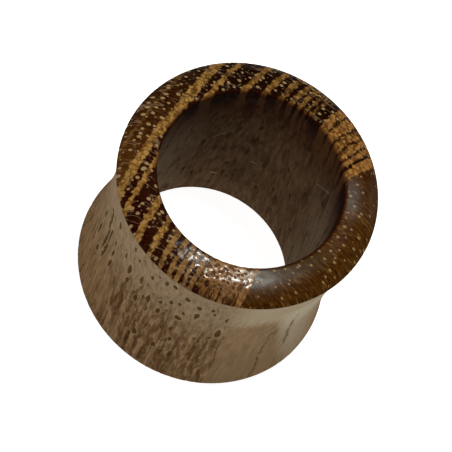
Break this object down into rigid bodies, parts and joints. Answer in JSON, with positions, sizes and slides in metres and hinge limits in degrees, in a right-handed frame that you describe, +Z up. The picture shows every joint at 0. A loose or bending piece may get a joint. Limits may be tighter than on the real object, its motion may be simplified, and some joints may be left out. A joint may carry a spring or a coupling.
{
  "type": "wooden flesh tunnel",
  "caption": "Hollow wooden ear tunnel turned from one piece of dark banded hardwood, with a shallow saddle round its waist, flared ends and domed rims.",
  "frame": {"origin": "on the tunnel's axis, at the level of the lower rim that it stands on", "axes": "+Z up along the axis of the tunnel and the grain of the wood; X and Y are the same all round"},
  "size_m": [0.0172, 0.0172, 0.0156],
  "materials": {
    "wood": "oiled and polished on the rims, plain turned wood on the walls"
  },
  "bodies": {
    "root": {"tunnel": "wood"}
  },
  "joints": []
}
